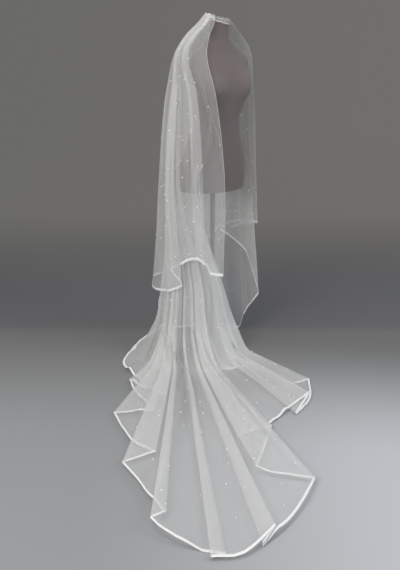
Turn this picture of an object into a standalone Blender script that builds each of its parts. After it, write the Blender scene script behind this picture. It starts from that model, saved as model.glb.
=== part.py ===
"""Two-tier bridal veil of soft tulle, draped on a limbless dress form.

Metres, +Z up.  The origin is on the underside of the foot plate, on the pole's axis.  The train
runs towards -Y, and the form is turned so that its chest faces between +X and -Y.

Each tier is one sheet.  It is described by its hem, a table with a row for each fold, and by the
sections that the sheet passes on its way down: the comb, the neck, the shoulders, the chest, the
hips and, for the long tier, the knee and the floor.  A thread runs from the comb to every point
of the hem through those sections, and the threads side by side make the sheet.
"""
import math

import bmesh
import bpy
import numpy as np

# ---------------------------------------------------------------- driving dimensions
TURN = math.radians(35.0)          # the form's turn about Z
SIDE = np.array((math.cos(TURN), math.sin(TURN)))       # towards the form's left shoulder
BACK = np.array((-math.sin(TURN), math.cos(TURN)))      # towards the form's back

WALL = 0.0010                      # thickness of the tulle solids
RIBBON_WALL = 0.0012               # thickness of the satin ribbon solids
RIBBON_WIDTH = 0.012
SEAM_GAP = 0.0003                  # between one piece and the next

COMB_RADIUS = 0.058
COMB_CENTRE = np.array((0.023, -0.012))
COMB_HEIGHT = 1.566                # of its middle
COMB_SLANT = 0.22                  # fall of the comb for each metre towards +X, as the neck's top
COMB_DROPS = (0.000, 0.005)        # the long tier is sewn this far below the short one
COMB_INSETS = (0.000, 0.0074)       # and this far inside it
# where each tier begins and ends at the comb and at the neck, in degrees from the form's left
# round its back
COMB_SPANS = ((2.0, 214.0), (8.0, 205.0))
COMB_COURSES = (40.0, 304.0)       # the long tier's courses that the comb's bar is sewn to
COMB_PLACES = (0.04, 0.26)         # and how far down them, as places from the comb to the neck
COMB_WALL = 0.0014
NECK_SPANS = ((-8.0, 238.0), (8.0, 207.0))

# ring, height, centre x, centre y, half width and half depth of the short tier, then of the
# long tier inside it
RINGS = (
    ("neck", 1.540, 0.009, -0.018, 0.085, 0.062, 0.066, 0.047),
    ("slope", 1.489, 0.004, -0.010, 0.144, 0.080, 0.120, 0.060),
    ("shoulder", 1.432, 0.006, 0.000, 0.195, 0.092, 0.175, 0.073),
    ("chest", 1.250, -0.003, 0.004, 0.221, 0.162, 0.196, 0.132),
    ("hip", 0.850, -0.015, 0.000, 0.254, 0.172, 0.226, 0.144),
)
# step from one folded layer to the next at the comb, at each ring and at each level below
UPPER_STEPS = (0.0014, 0.0018, 0.0020, 0.0022, 0.0026, 0.0028, 0.0030, 0.0030)
LOWER_STEPS = (0.0013, 0.0014, 0.0016, 0.0018, 0.0025, 0.0029, 0.0034, 0.0034, 0.0034, 0.0034)

# ---------------------------------------------------------------- the short tier
# place, course (degrees at the hip, from the form's left round its back), degrees at the shoulder
# and the chest, x and y at the skirt's height
UPPER_COURSES = (
    ("right", -18.0, -4.0, -11.7, 0.240, 0.122),
    ("right far", 4.0, 18.0, 10.3, 0.206, 0.176),
    ("back right", 36.0, 58.0, 45.9, 0.092, 0.200),
    ("back", 70.0, 90.0, 79.0, -0.030, 0.202),
    ("back left", 92.0, 110.0, 100.1, -0.116, 0.190),
    ("left far", 112.0, 128.0, 119.2, -0.196, 0.156),
    ("left rear", 128.0, 141.0, 133.9, -0.254, 0.106),
    ("left side", 144.0, 154.0, 148.5, -0.284, 0.040),
    ("left near", 160.0, 166.0, 162.7, -0.274, -0.042),
    ("left inner", 176.0, 176.0, 176.0, -0.234, -0.104),
    ("left turn", 192.0, 183.0, 188.0, -0.182, -0.146),
    ("front left", 212.0, 192.0, 202.5, -0.112, -0.176),
    ("front", 236.0, 210.0, 222.0, -0.036, -0.192),
    ("front edge", 262.0, 240.0, 246.0, 0.050, -0.184),
)
SKIRT_HEIGHT = 0.450
# fold, x, y, z of the hem, the next layer's side: 1 outside, -1 inside, 0 where the hem only bends
UPPER_HEM = (
    ("right edge", 0.030, 0.190, 0.470, 0),
    ("right inner", 0.098, 0.190, 0.548, 0),
    ("right near", 0.158, 0.180, 0.572, 0),
    ("right fold", 0.236, 0.130, 0.598, 1),
    ("right far", 0.205, 0.176, 0.590, 0),
    ("back right", 0.074, 0.198, 0.570, 0),
    ("back", -0.036, 0.200, 0.484, 0),
    ("back left", -0.118, 0.190, 0.402, 0),
    ("left far", -0.196, 0.158, 0.330, 0),
    ("left rear", -0.258, 0.112, 0.318, 0),
    ("left side", -0.290, 0.040, 0.296, 0),
    ("left near", -0.249, -0.078, 0.309, 0),
    ("left inner", -0.190, -0.130, 0.330, 0),
    ("left turn", -0.141, -0.160, 0.362, -1),
    ("left tip", -0.196, -0.132, 0.436, -1),
    ("front left", -0.126, -0.172, 0.486, 0),
    ("front dip", -0.092, -0.182, 0.500, 0),
    ("front fold", -0.035, -0.191, 0.492, 1),
    ("front tuck", -0.078, -0.184, 0.506, 1),
    ("front inner", -0.029, -0.190, 0.476, 0),
    ("front low", -0.011, -0.190, 0.431, 0),
    ("front edge", 0.047, -0.184, 0.419, 0),
)

# ---------------------------------------------------------------- the long tier
# place, course, degrees at the shoulder and the hip, x and y at the knee, x and y at the ankle,
# heading on the floor in degrees, distance from the ankle's foot to where the cloth lies flat
LOWER_COURSES = (
    ("right", 0.0, 4.0, -10.0, 0.226, 0.120, 0.246, 0.128, 40.0, 0.012),
    ("right back", 16.0, 20.0, 6.0, 0.190, 0.148, 0.206, 0.150, 50.0, 0.012),
    ("right foot", 34.0, 48.0, 24.0, 0.143, 0.162, 0.156, 0.152, 60.0, 0.012),
    ("rear", 62.0, 84.0, 66.0, -0.022, 0.178, -0.020, 0.178, 85.0, 0.014),
    ("rear left", 88.0, 106.0, 92.0, -0.130, 0.168, -0.150, 0.170, 110.0, 0.020),
    ("far left", 112.0, 120.0, 110.0, -0.196, 0.128, -0.240, 0.124, 140.0, 0.040),
    ("left", 138.0, 132.0, 126.0, -0.232, 0.064, -0.282, 0.040, 176.0, 0.070),
    ("left near", 164.0, 142.0, 142.0, -0.246, 0.002, -0.290, -0.040, 208.0, 0.105),
    ("left front", 190.0, 152.0, 158.0, -0.226, -0.050, -0.268, -0.108, 238.0, 0.140),
    ("front left", 216.0, 161.0, 172.0, -0.196, -0.088, -0.226, -0.160, 257.0, 0.180),
    ("front", 242.0, 169.0, 184.0, -0.156, -0.112, -0.168, -0.192, 270.0, 0.200),
    ("front right", 268.0, 176.0, 196.0, -0.106, -0.122, -0.100, -0.204, 280.0, 0.180),
    ("right front", 294.0, 182.0, 206.0, -0.050, -0.116, -0.026, -0.188, 290.0, 0.160),
    ("right near", 318.0, 188.0, 216.0, 0.002, -0.100, 0.050, -0.140, 300.0, 0.115),
    ("right end", 344.0, 194.0, 226.0, 0.046, -0.052, 0.122, -0.036, 309.0, 0.105),
)
KNEE_HEIGHT = 0.340
ANKLE_HEIGHT = 0.100
TRAIN_REACH = 1.700
# fold, x, y, z of the hem, the next layer's side: 1 outside or above, -1 inside or beneath
LOWER_HEM = (
    ("right edge", 0.046, 0.185, 0.544, 0),
    ("right rise", 0.102, 0.180, 0.505, 0),
    ("right bend", 0.176, 0.165, 0.440, 0),
    ("right drop", 0.216, 0.138, 0.334, 0),
    ("right fold", 0.244, 0.124, 0.222, 1),
    ("right back", 0.206, 0.150, 0.154, 0),
    ("right tuck", 0.170, 0.160, 0.094, 0),
    ("right foot", 0.150, 0.152, 0.014, 0),
    ("right floor", 0.120, 0.164, 0.004, 0),
    ("rear", -0.030, 0.183, 0.020, 0),
    ("rear left", -0.168, 0.180, 0.020, 0),
    ("far left", -0.293, 0.148, 0.000, 0),
    ("far corner", -0.356, 0.062, 0.000, 0),
    ("left far", -0.405, -0.090, 0.000, 0),
    ("left corner", -0.432, -0.240, 0.000, 0),
    ("left in", -0.376, -0.357, 0.000, 0),
    ("left deep", -0.298, -0.477, 0.000, 0),
    ("tuck a", -0.204, -0.580, 0.000, 1),
    ("tuck a out", -0.281, -0.535, 0.000, 0),
    ("point a", -0.383, -0.433, 0.000, 1),
    ("point a in", -0.352, -0.535, 0.000, 0),
    ("tuck b", -0.251, -0.730, 0.000, 1),
    ("point b", -0.418, -0.746, 0.000, 1),
    ("point b in", -0.331, -0.954, 0.000, 0),
    ("tuck c", -0.225, -1.045, 0.000, 1),
    ("point c", -0.345, -1.120, 0.000, 1),
    ("point c in", -0.278, -1.230, 0.000, 0),
    ("front left", -0.233, -1.320, 0.000, 0),
    ("front bow", -0.196, -1.470, 0.000, 0),
    ("front", -0.091, -1.560, 0.000, 0),
    ("front mid", 0.000, -1.612, 0.000, 0),
    ("front right", 0.090, -1.590, 0.000, 0),
    ("right front", 0.160, -1.520, 0.000, 0),
    ("right bow", 0.219, -1.456, 0.000, 0),
    ("right long", 0.289, -1.342, 0.000, 0),
    ("corner point", 0.348, -1.212, 0.000, -1),
    ("corner mid", 0.242, -1.195, 0.000, 0),
    ("corner tuck", 0.142, -1.149, 0.000, -1),
    ("fan mid", 0.181, -1.031, 0.000, 0),
    ("fan point", 0.229, -0.842, 0.000, -1),
    ("fan tuck", 0.088, -0.925, 0.000, -1),
    ("fan in", 0.162, -0.880, 0.000, 0),
    ("fan out", 0.256, -0.780, 0.000, 0),
    ("side in", 0.323, -0.691, 0.000, 0),
    ("side tuck", 0.422, -0.563, 0.000, -1),
    ("side point", 0.340, -0.746, 0.000, -1),
    ("side mid", 0.420, -0.600, 0.000, 0),
    ("side far", 0.440, -0.418, 0.000, -1),
    ("under a", 0.330, -0.470, 0.000, 0),
    ("under b", 0.230, -0.340, 0.000, 0),
    ("under c", 0.155, -0.290, 0.000, 0),
    ("under d", 0.060, -0.330, 0.000, 0),
    ("left end", -0.055, -0.345, 0.000, 0),
)

# ---------------------------------------------------------------- the dress form
# height, half width, depth in front, depth behind, shift to the front
FORM_SECTIONS = (
    (0.800, 0.170, 0.108, 0.116, -0.004),
    (0.860, 0.174, 0.108, 0.122, -0.004),
    (0.930, 0.173, 0.105, 0.122, -0.004),
    (1.000, 0.151, 0.100, 0.100, 0.000),
    (1.060, 0.124, 0.094, 0.084, 0.004),
    (1.110, 0.112, 0.089, 0.078, 0.008),
    (1.170, 0.128, 0.096, 0.082, 0.012),
    (1.240, 0.147, 0.108, 0.092, 0.014),
    (1.300, 0.157, 0.105, 0.096, 0.012),
    (1.350, 0.161, 0.090, 0.092, 0.010),
    (1.390, 0.158, 0.070, 0.080, 0.010),
    (1.420, 0.122, 0.056, 0.066, 0.011),
    (1.445, 0.080, 0.049, 0.056, 0.012),
    (1.462, 0.052, 0.045, 0.050, 0.012),
    (1.480, 0.043, 0.042, 0.045, 0.012),
    (1.538, 0.041, 0.040, 0.042, 0.012),
)
FORM_LEAN = 0.020                  # how far the shoulders stand to +X of the hem of the form
BUST = (0.088, 1.262, 0.056, 0.038)      # half spacing, height, spread, height of the swell
NECK_SLANT = 0.26                  # fall of the neck's cut top for each metre towards +X
NECK_HEIGHTS = (1.462, 1.538)      # where that slant begins, and where it is whole
FORM_SEGMENTS = 32
FORM_RINGS = 22
CAP_RADIUS = 0.0445
CAP_THICKNESS = 0.008
POLE_RADIUS = 0.011
PLATE = (-0.205, 0.082, -0.098, 0.098)   # x from, x to, y from, y to
PLATE_THICKNESS = 0.010
PLATE_CORNER = 0.035
COLLAR_RADIUS = 0.024
COLLAR_HEIGHT = 0.030


# ---------------------------------------------------------------- curves
def unit(vector):
    """The vector at length one."""
    length = np.linalg.norm(vector)
    return vector / length if length > 1e-9 else vector


def bearing(degrees):
    """The level direction at so many degrees from +X."""
    return np.array((math.cos(math.radians(degrees)), math.sin(math.radians(degrees))))


def cubic(start, stop, slope_in, slope_out, t):
    """The point at t on the cubic between two points with their slopes."""
    return ((2 * t**3 - 3 * t**2 + 1) * start + (t**3 - 2 * t**2 + t) * slope_in
            + (3 * t**2 - 2 * t**3) * stop + (t**3 - t**2) * slope_out)


def through(points, spacing):
    """Points on a smooth curve through the given ones, no further apart than the spacing."""
    points = np.asarray(points, dtype=float)
    ends = np.vstack((2 * points[0] - points[1], points, 2 * points[-1] - points[-2]))
    result = [points[0]]
    for index in range(len(points) - 1):
        start, stop = points[index], points[index + 1]
        reach = np.linalg.norm(stop - start)
        count = max(1, math.ceil(reach / spacing))
        slopes = [(stop - ends[index]) * 0.5, (ends[index + 3] - start) * 0.5]
        slopes = [unit(slope) * min(reach, np.linalg.norm(slope)) for slope in slopes]
        for step in range(1, count + 1):
            result.append(cubic(start, stop, slopes[0], slopes[1], step / count))
    return result


def hem_legs(rows, spacing):
    """The hem as legs between folds, each a run of points, with the side each next leg lies on."""
    legs, sides, run = [], [], []
    for name, x, y, z, side in rows:
        run.append((x, y, z))
        if side:
            legs.append(np.array(through(run, spacing)))
            sides.append(side)
            run = [(x, y, z)]
    legs.append(np.array(through(run, spacing)))
    return legs, sides


class Thread:
    """A smooth curve down through a tier's levels."""

    def __init__(self, levels, flat_from=99, ease=1.0):
        self.levels = np.array(levels)
        steps = np.linalg.norm(np.diff(self.levels, axis=0), axis=1)
        self.at = np.concatenate(((0.0,), np.cumsum(np.maximum(steps, 1e-5))))
        self.slopes = np.gradient(self.levels, self.at, axis=0)
        for index in range(flat_from, len(self.levels)):
            self.slopes[index] = unit(self.levels[-1] - self.levels[flat_from])
            self.slopes[index] *= ease if index == flat_from else 1.0

    def point(self, place):
        """The point at a place counted in levels."""
        index = int(min(max(math.floor(place), 0), len(self.levels) - 2))
        span = self.at[index + 1] - self.at[index]
        return cubic(self.levels[index], self.levels[index + 1], self.slopes[index] * span,
                     self.slopes[index + 1] * span, place - index)


# ---------------------------------------------------------------- the two tiers' courses
class Courses:
    """A table of courses, smooth from row to row."""

    def __init__(self, rows):
        self.table = np.array([row[1:] for row in rows])
        self.slopes = np.gradient(self.table, self.table[:, 0], axis=0)

    def at(self, course):
        """Every column after the first, at a course."""
        stops = self.table[:, 0]
        index = int(np.clip(np.searchsorted(stops, course) - 1, 0, len(stops) - 2))
        span = stops[index + 1] - stops[index]
        t = (course - stops[index]) / span
        return cubic(self.table[index], self.table[index + 1], self.slopes[index] * span,
                     self.slopes[index + 1] * span, t)[1:]

    def share(self, course, span):
        """A course as a share of the whole, laid over a span of degrees."""
        first, last = self.table[0, 0], self.table[-1, 0]
        return span[0] + (span[1] - span[0]) * (course - first) / (last - first)


UPPER = Courses(UPPER_COURSES)
LOWER = Courses(LOWER_COURSES)


def ring_level(index, degrees, tier):
    """A ring's point at an angle, for a tier: 0 short, 1 long."""
    _, height, centre_x, centre_y = RINGS[index][:4]
    half_width, half_depth = RINGS[index][4 + 2 * tier], RINGS[index][5 + 2 * tier]
    angle = math.radians(degrees)
    place = half_width * math.cos(angle) * SIDE + half_depth * math.sin(angle) * BACK
    return (centre_x + place[0], centre_y + place[1], height)


def comb_level(degrees, drop, inset):
    """A point of a tier's gathered edge, sewn to the comb."""
    angle = math.radians(degrees)
    place = COMB_CENTRE + (COMB_RADIUS - inset) * (math.cos(angle) * SIDE + math.sin(angle) * BACK)
    return (place[0], place[1], COMB_HEIGHT - COMB_SLANT * (place[0] - COMB_CENTRE[0]) - drop)


def body_levels(tier, courses, course, shoulder, chest, hip):
    """The levels from the comb to the hips."""
    comb = courses.share(course, COMB_SPANS[tier])
    neck = courses.share(course, NECK_SPANS[tier])
    return [comb_level(comb, COMB_DROPS[tier], COMB_INSETS[tier]),
            ring_level(0, neck, tier),
            ring_level(1, 0.5 * (neck + shoulder), tier),
            ring_level(2, shoulder, tier),
            ring_level(3, chest, tier),
            ring_level(4, hip, tier)]


def upper_thread(course):
    """A thread of the short tier."""
    shoulder, chest, skirt_x, skirt_y = UPPER.at(course)
    levels = body_levels(0, UPPER, course, shoulder, chest, course)
    levels.append((skirt_x, skirt_y, SKIRT_HEIGHT))
    hip = np.array(levels[-2])
    levels.append(hip + (np.array(levels[-1]) - hip) * 1.5)
    return Thread(levels)


def lower_thread(course):
    """A thread of the long tier."""
    shoulder, hip, knee_x, knee_y, ankle_x, ankle_y, heading, toe = LOWER.at(course)
    levels = body_levels(1, LOWER, course, shoulder, 0.45 * shoulder + 0.55 * hip, hip)
    levels.append((knee_x, knee_y, KNEE_HEIGHT))
    levels.append((ankle_x, ankle_y, ANKLE_HEIGHT))
    touch = np.array((ankle_x, ankle_y)) + bearing(heading) * toe
    far = touch + bearing(heading) * TRAIN_REACH
    levels.append((touch[0], touch[1], WALL / 2))
    levels.append((far[0], far[1], WALL / 2))
    return Thread(levels, flat_from=8, ease=min(1.0, toe / ANKLE_HEIGHT))


class Cloth:
    """A tier's surface by course and place, and its layers, each a step further out or up."""

    def __init__(self, make, steps, knots):
        self.make, self.steps, self.knots = make, steps, knots
        self.kept = {}

    def thread(self, course):
        """The thread of a course, kept for the next time."""
        key = round(float(course), 4)
        if key not in self.kept:
            self.kept[key] = self.make(key)
        return self.kept[key]

    def point(self, course, place):
        """The lowest layer's point."""
        return self.thread(course).point(place)

    def lifted(self, course, place, layer):
        """A layer's point."""
        base = self.point(course, place)
        if layer == 0.0:
            return base
        across = self.point(course + 0.5, place) - self.point(course - 0.5, place)
        down = self.point(course, place + 0.01) - self.point(course, place - 0.01)
        step = np.interp(place, range(len(self.steps)), self.steps)
        return base + unit(np.cross(down, across)) * step * layer

    def flat(self, course, place, layer):
        """A layer's point on straight lines between the knots."""
        index = int(np.clip(np.searchsorted(self.knots, place) - 1, 0, len(self.knots) - 2))
        low, high = self.knots[index], self.knots[index + 1]
        start, stop = self.lifted(course, low, layer), self.lifted(course, high, layer)
        return start + (stop - start) * (place - low) / (high - low)

    def before(self, column, distance):
        """The place so far up a column from its hem."""
        course, place, layer = column
        hem = self.flat(course, place, layer)
        low, high = place - 0.9, place
        for _ in range(24):
            middle = (low + high) / 2
            if np.linalg.norm(self.flat(course, middle, layer) - hem) > distance:
                low = middle
            else:
                high = middle
        return low

    def run(self, column, start, count, trim):
        """Points down a column from a place to its hem less the trim, through every knot between."""
        course, _, layer = column
        stop = self.before(column, trim) if trim else column[1]
        inner = [knot for knot in self.knots if start < knot < stop - 0.02][:count - 1]
        last = inner[-1] if inner else start
        more = count - len(inner)
        places = [start] + inner + [last + (stop - last) * (k + 1) / more for k in range(more)]
        return [self.flat(course, place, layer) for place in places]


def find_course(cloth, course, place, target):
    """The course and the place along it where a tier passes nearest to a point."""
    for _ in range(5):
        here = cloth.point(course, place)
        turn = (cloth.point(course + 0.2, place) - here) / 0.2
        run = (cloth.point(course, place + 0.002) - here) / 0.002
        change = np.linalg.lstsq(np.stack((turn, run), axis=1), target - here, rcond=None)[0]
        course += float(np.clip(change[0], -1.0, 1.0))
        place += float(np.clip(change[1], -0.1, 0.1))
    return course, place


def solve_legs(cloth, legs, courses, places):
    """Course and place for each point of each leg, found from the nearest of a net of points."""
    net = np.array([[cloth.point(course, place) for place in places] for course in courses])
    solved = []
    for leg in legs:
        found = []
        for point in leg:
            away = np.linalg.norm(net - point, axis=2)
            row, column = np.unravel_index(np.argmin(away), away.shape)
            found.append(find_course(cloth, courses[row], places[column], point))
        solved.append(found)
    return solved


def stacked(solved, sides, step, blur):
    """The layer of each point of each leg, so that legs which share a course never meet."""
    ranks = np.concatenate(((0,), np.cumsum(sides)))
    heights = [None] * len(solved)
    for leg in np.argsort(ranks, kind="stable"):
        courses = np.array([course for course, _ in solved[leg]])
        fine = np.arange(courses.min() - step - blur, courses.max() + step + blur, 0.5)
        need = np.zeros(len(fine))
        for other, height in enumerate(heights):
            if height is None:
                continue
            across = np.array([course for course, _ in solved[other]])
            order = np.argsort(across)
            near = (fine > across.min() - 1.5) & (fine < across.max() + 1.5)
            below = np.interp(fine, across[order], height[order])
            need = np.where(near, np.maximum(need, below + 1.0), need)
        reach = int(2 * step)
        wide = np.array([need[max(0, k - reach):k + reach + 1].max() for k in range(len(fine))])
        spread = int(2 * blur)
        soft = np.array([wide[max(0, k - spread):k + spread + 1].mean() for k in range(len(fine))])
        heights[leg] = np.interp(courses, fine, np.maximum(soft, need))
    return heights


def evenly(solved, heights, step):
    """Each leg's course, place and layer, taken at even steps of the course between its ends."""
    legs = []
    for points, height in zip(solved, heights):
        courses, places = np.array(points).T
        low, high = min(courses[0], courses[-1]), max(courses[0], courses[-1])
        inner = np.arange(math.ceil(low / step) * step, high, step)
        inner = inner[(inner > low + 0.3 * step) & (inner < high - 0.3 * step)]
        order = np.argsort(courses)
        at = np.concatenate(((low,), inner, (high,)))
        if courses[0] > courses[-1]:
            at = at[::-1]
        legs.append([(course, np.interp(course, courses[order], places[order]),
                      np.interp(course, courses[order], np.array(height)[order])) for course in at])
    return legs


def columns_of(legs):
    """Every column of a tier, with a column of its own at the turn of each fold."""
    columns = []
    for points in legs:
        if columns:
            columns.append(tuple((old + new) / 2 for old, new in zip(columns[-1], points[0])))
        columns += points
    return columns


# ---------------------------------------------------------------- mesh making
def new_object(name, mesh, material):
    """A mesh as an object of its own, smooth but for its sharp edges."""
    mesh.materials.append(material)
    mesh.shade_smooth()
    mesh.set_sharp_from_angle(angle=math.radians(50.0))
    made = bpy.data.objects.new(name, mesh)
    bpy.context.collection.objects.link(made)
    return made


def surface_material(name, colour, roughness, metallic=0.0):
    """A plain Principled material."""
    material = bpy.data.materials.new(name)
    material.use_nodes = True
    shader = material.node_tree.nodes["Principled BSDF"]
    shader.inputs["Base Color"].default_value = (*colour, 1.0)
    shader.inputs["Roughness"].default_value = roughness
    shader.inputs["Metallic"].default_value = metallic
    return material


def sheet_normals(grid):
    """The normal at each point of a grid, by its neighbours along and across."""
    across = np.zeros_like(grid)
    down = np.zeros_like(grid)
    across[1:-1] = grid[2:] - grid[:-2]
    across[0], across[-1] = grid[1] - grid[0], grid[-1] - grid[-2]
    down[:, 1:-1] = grid[:, 2:] - grid[:, :-2]
    down[:, 0], down[:, -1] = grid[:, 1] - grid[:, 0], grid[:, -1] - grid[:, -2]
    normals = np.cross(across, down)
    return normals / np.maximum(np.linalg.norm(normals, axis=2, keepdims=True), 1e-12)


def quad(made, corners, forward):
    """Four corners as two triangles, split along the same diagonal of the cloth on every layer."""
    a, b, c, d = corners
    for face in ((a, b, c), (a, c, d)) if forward else ((a, b, d), (b, c, d)):
        made.faces.new(face)


def walled_sheet(name, grid, wall, material, courses):
    """A grid of points as one closed wall, half its thickness to each side."""
    grid = np.array(grid)
    normals = sheet_normals(grid)
    outer = grid + normals * wall / 2
    inner = grid - normals * wall / 2
    for side in (outer, inner):
        side[:, :, 2] = np.maximum(side[:, :, 2], 0.0)
    rows, columns = grid.shape[:2]
    made = bmesh.new()
    top = [[made.verts.new(outer[i, j]) for j in range(columns)] for i in range(rows)]
    low = [[made.verts.new(inner[i, j]) for j in range(columns)] for i in range(rows)]
    for i in range(rows - 1):
        for j in range(columns - 1):
            for side in (top, low):
                quad(made, (side[i][j], side[i + 1][j], side[i + 1][j + 1], side[i][j + 1]),
                     courses[i + 1] >= courses[i])
    for i in range(rows - 1):
        for j in (0, columns - 1):
            made.faces.new((top[i][j], low[i][j], low[i + 1][j], top[i + 1][j]))
    for j in range(columns - 1):
        for i in (0, rows - 1):
            made.faces.new((top[i][j], low[i][j], low[i][j + 1], top[i][j + 1]))
    bmesh.ops.recalc_face_normals(made, faces=made.faces)
    mesh = bpy.data.meshes.new(name)
    made.to_mesh(mesh)
    made.free()
    return new_object(name, mesh, material)


def lofted(name, loops, material):
    """Closed loops of equal count as one solid, with a flat face on each end."""
    made = bmesh.new()
    rings = [[made.verts.new(point) for point in loop] for loop in loops]
    for low, high in zip(rings[:-1], rings[1:]):
        count = len(low)
        for k in range(count):
            made.faces.new((low[k], low[(k + 1) % count], high[(k + 1) % count], high[k]))
    made.faces.new(rings[0][::-1])
    made.faces.new(rings[-1])
    bmesh.ops.recalc_face_normals(made, faces=made.faces)
    mesh = bpy.data.meshes.new(name)
    made.to_mesh(mesh)
    made.free()
    return new_object(name, mesh, material)


# ---------------------------------------------------------------- the pieces
UPPER_KNOTS = [0, 0.5, 1, 1.5, 2, 2.5, 3, 3.5, 4, 4.5, 5, 5.5, 6, 7]
LOWER_KNOTS = [0, 0.5, 1, 1.5, 2, 2.5, 3, 4, 5, 5.5, 6, 6.5, 7, 7.42, 7.8, 8, 9]


def upper_columns(cloth, spacing, step):
    """The short tier's columns, as course, place of the hem and layer."""
    legs, sides = hem_legs(UPPER_HEM, spacing)
    solved = solve_legs(cloth, legs, np.arange(-20.0, 266.0, 1.0), np.arange(5.5, 7.0, 0.05))
    return columns_of(evenly(solved, stacked(solved, sides, step, 4.0), step))


def lower_columns(cloth, spacing, step):
    """The long tier's columns, as course, place of the hem and layer."""
    legs, sides = hem_legs(LOWER_HEM, spacing)
    places = np.concatenate((np.arange(5.4, 8.0, 0.1), np.arange(8.0, 9.0, 0.02)))
    solved = solve_legs(cloth, legs, np.arange(-2.0, 350.0, 1.0), places)
    return columns_of(evenly(solved, stacked(solved, sides, step, 3.0), step))


def ribbon_edges(cloth, column):
    """The two edges of the ribbon below a column."""
    course, hem, layer = column
    return [cloth.flat(course, place, layer) for place in (cloth.before(column, RIBBON_WIDTH), hem)]


def make_upper_tier(tulle, satin):
    """The short tier and its ribbon."""
    cloth = Cloth(upper_thread, UPPER_STEPS, UPPER_KNOTS)
    columns = upper_columns(cloth, 0.060, 7.0)
    courses = [column[0] for column in columns]
    sheet = [cloth.run(column, 0, 13, RIBBON_WIDTH + SEAM_GAP) for column in columns]
    walled_sheet("upper_tier", sheet, WALL, tulle, courses)
    ribbon = [ribbon_edges(cloth, column) for column in columns]
    walled_sheet("upper_ribbon", ribbon, RIBBON_WALL, satin, courses)


def make_lower_tier(tulle, satin):
    """The long tier, in the stretch that hangs and the stretch that lies, and its ribbon."""
    cloth = Cloth(lower_thread, LOWER_STEPS, LOWER_KNOTS)
    columns = lower_columns(cloth, 0.075, 8.0)
    courses = [column[0] for column in columns]
    first = next(k for k, column in enumerate(columns) if column[0] > 10.0 and column[1] > 7.2)
    fall, train = [], []
    for index, column in enumerate(columns):
        if index < first:
            fall.append(cloth.run(column, 0, 12, RIBBON_WIDTH + SEAM_GAP))
        else:
            fall.append(cloth.run((column[0], 7.0, column[2]), 0, 12, SEAM_GAP))
            train.append(cloth.run(column, 7.0, 6, RIBBON_WIDTH + SEAM_GAP))
    walled_sheet("lower_tier_fall", fall, WALL, tulle, courses)
    walled_sheet("lower_tier_train", train, WALL, tulle, courses[first:])
    ribbon = [ribbon_edges(cloth, column) for column in columns]
    walled_sheet("lower_ribbon", ribbon, RIBBON_WALL, satin, courses)


def form_loop(height):
    """One level section of the dress form."""
    heights = [row[0] for row in FORM_SECTIONS]
    width, ahead, behind, shift = (np.interp(height, heights, [row[k] for row in FORM_SECTIONS])
                                   for k in (1, 2, 3, 4))
    lean = FORM_LEAN * (height - heights[0]) / (heights[-1] - heights[0])
    half_spacing, bust_height, spread, swell = BUST
    slant = NECK_SLANT * np.interp(height, NECK_HEIGHTS, (0.0, 1.0))
    middle = lean - shift * BACK[0]
    loop = []
    for k in range(FORM_SEGMENTS):
        angle = 2 * math.pi * k / FORM_SEGMENTS
        side = width * math.cos(angle)
        depth = (behind if math.sin(angle) > 0 else ahead) * math.sin(angle)
        if depth < 0:
            away = min(abs(side - half_spacing), abs(side + half_spacing))
            bump = math.exp(-(away / spread) ** 2 - ((height - bust_height) / spread) ** 2)
            depth -= swell * bump
        place = side * SIDE + (depth - shift) * BACK
        x = place[0] + lean
        loop.append((x, place[1], height - slant * (x - middle)))
    return loop


def make_form(jersey):
    """The dress form's body, from its flat hem to its neck."""
    start, stop = FORM_SECTIONS[0][0], FORM_SECTIONS[-1][0]
    heights = np.linspace(start, stop, FORM_RINGS)
    lofted("dress_form", [form_loop(height) for height in heights], jersey)


def round_loop(centre, radius, count, slant=0.0):
    """A circle about a centre, falling towards +X by a slant."""
    loop = []
    for k in range(count):
        x, y = radius * bearing(360.0 * k / count)
        loop.append((centre[0] + x, centre[1] + y, centre[2] - slant * x))
    return loop


def make_neck_cap(painted):
    """The turned cap on the form's neck."""
    top = np.array(form_loop(FORM_SECTIONS[-1][0])).mean(axis=0)
    low = top + (0, 0, SEAM_GAP)
    profile = ((0.90, 0.0), (1.0, 0.25), (1.0, 0.75), (0.90, 1.0))
    loops = [round_loop(low + (0, 0, CAP_THICKNESS * rise), CAP_RADIUS * size, 32, NECK_SLANT)
             for size, rise in profile]
    lofted("neck_cap", loops, painted)


def make_stand(metal):
    """The pole, its collar and the foot plate."""
    x_from, x_to, y_from, y_to = (side - math.copysign(PLATE_CORNER, side) for side in PLATE)
    outline = []
    for turn, centre in enumerate(((x_to, y_to), (x_from, y_to), (x_from, y_from), (x_to, y_from))):
        for k in range(5):
            corner = PLATE_CORNER * bearing(90.0 * (turn + k / 4))
            outline.append((centre[0] + corner[0], centre[1] + corner[1]))
    lofted("foot_plate", [[(x, y, z) for x, y in outline] for z in (0.0, PLATE_THICKNESS)], metal)
    base = PLATE_THICKNESS + SEAM_GAP
    top = FORM_SECTIONS[0][0] - SEAM_GAP
    heights = (base, base + COLLAR_HEIGHT * 0.8, base + COLLAR_HEIGHT, base + COLLAR_HEIGHT, top)
    radii = (COLLAR_RADIUS, COLLAR_RADIUS, COLLAR_RADIUS * 0.85, POLE_RADIUS, POLE_RADIUS)
    lofted("pole", [round_loop((0, 0, z), r, 24) for z, r in zip(heights, radii)], metal)


def make_comb(metal):
    """The comb's curved bar, sewn inside the gathered edge of the long tier."""
    cloth = Cloth(lower_thread, LOWER_STEPS, LOWER_KNOTS)
    courses = np.arange(COMB_COURSES[0], COMB_COURSES[1] + 1.0, 8.0)
    inward = -(WALL / 2 + SEAM_GAP + COMB_WALL / 2) / LOWER_STEPS[0]
    bar = [[cloth.flat(course, place, inward) for place in COMB_PLACES] for course in courses]
    walled_sheet("comb", bar, COMB_WALL, metal, courses)


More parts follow.
